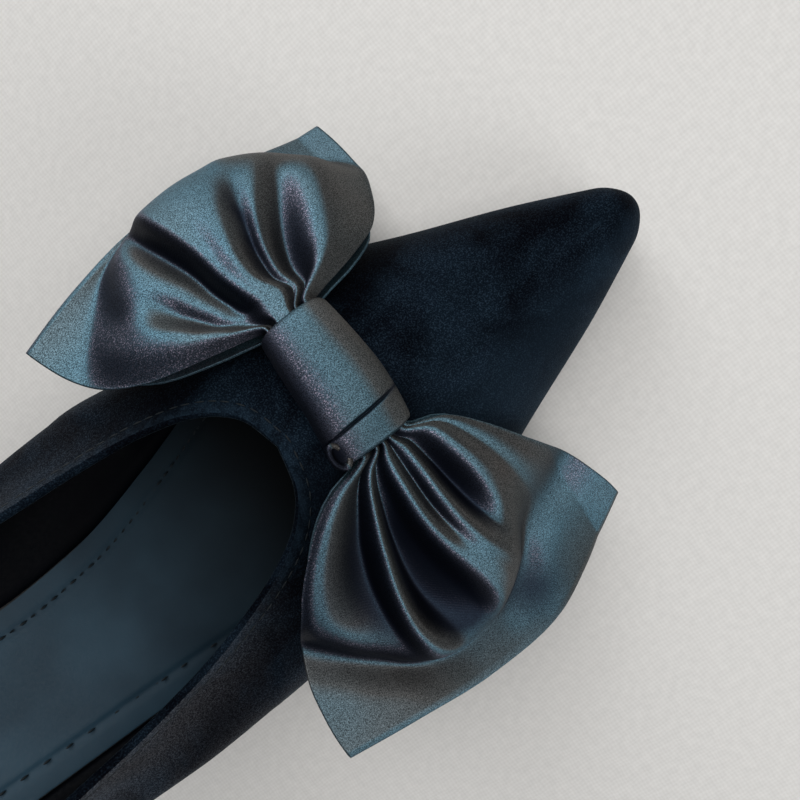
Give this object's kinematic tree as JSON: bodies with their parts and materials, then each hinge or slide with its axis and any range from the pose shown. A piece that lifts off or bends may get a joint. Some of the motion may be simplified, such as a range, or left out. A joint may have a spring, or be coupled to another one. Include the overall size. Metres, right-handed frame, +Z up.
{
  "type": "high-heeled shoe",
  "caption": "Right-foot pointed pump with a velvet upper, slim high heel, padded insole and a satin ribbon bow tied across the vamp.",
  "frame": {"origin": "on the floor under the middle of the shoe's bounding box", "axes": "+X from the heel's back to the toe, +Y to the inner (big-toe) side, +Z up from the floor"},
  "size_m": [0.25, 0.1223, 0.1265],
  "materials": {
    "velvet": "matte",
    "satin": "satin",
    "insole_leather": "satin",
    "sole_leather": "satin",
    "top_piece": "matte"
  },
  "bodies": {
    "root": {"upper": "velvet", "insole": "insole_leather", "outsole": "sole_leather", "heel": "velvet", "heel_top_piece": "top_piece", "bow_loop_inner": "satin", "bow_loop_outer": "satin", "bow_knot": "satin"}
  },
  "joints": []
}
